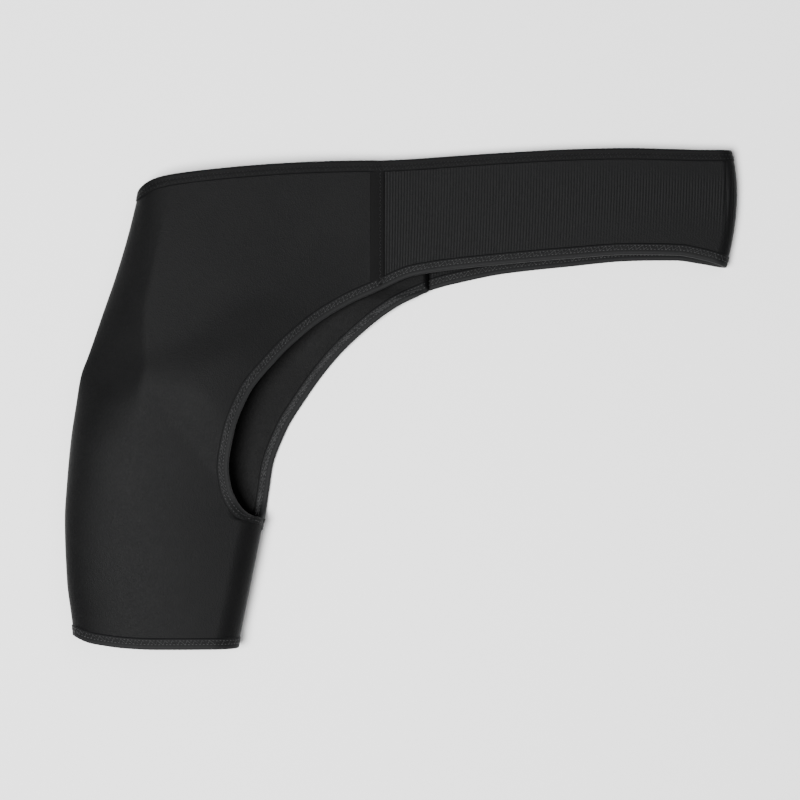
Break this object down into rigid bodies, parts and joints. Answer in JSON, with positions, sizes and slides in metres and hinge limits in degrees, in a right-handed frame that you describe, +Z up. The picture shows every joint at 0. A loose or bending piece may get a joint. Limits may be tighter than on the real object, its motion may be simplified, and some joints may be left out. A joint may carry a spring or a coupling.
{
  "type": "shoulder brace",
  "caption": "Soft one-shoulder support brace with a short sleeve, a padded cap and a ribbed band that loops round the chest, lying flat.",
  "frame": {"origin": "bottom centre of the bounding box, on the surface that the brace lies on", "axes": "+X runs along the chest band from the sleeve to the far fold, +Y from the cuff to the shoulder, +Z up out of the front layer"},
  "size_m": [0.6058, 0.4498, 0.0528],
  "materials": {
    "neoprene": "black knitted face over neoprene, soft and matt",
    "ribbed_band": "black ribbed stretch cloth, matt",
    "tape": "black woven tape, matt",
    "binding": "black folded stretch tape with two rows of stitches",
    "hook": "black hook tape, matt"
  },
  "bodies": {
    "root": {"body_panel": "neoprene", "chest_strap": "ribbed_band", "seam_tape": "tape", "neck_binding": "binding", "underarm_binding": "binding", "cuff_binding": "binding", "hook_pad": "hook"}
  },
  "joints": []
}
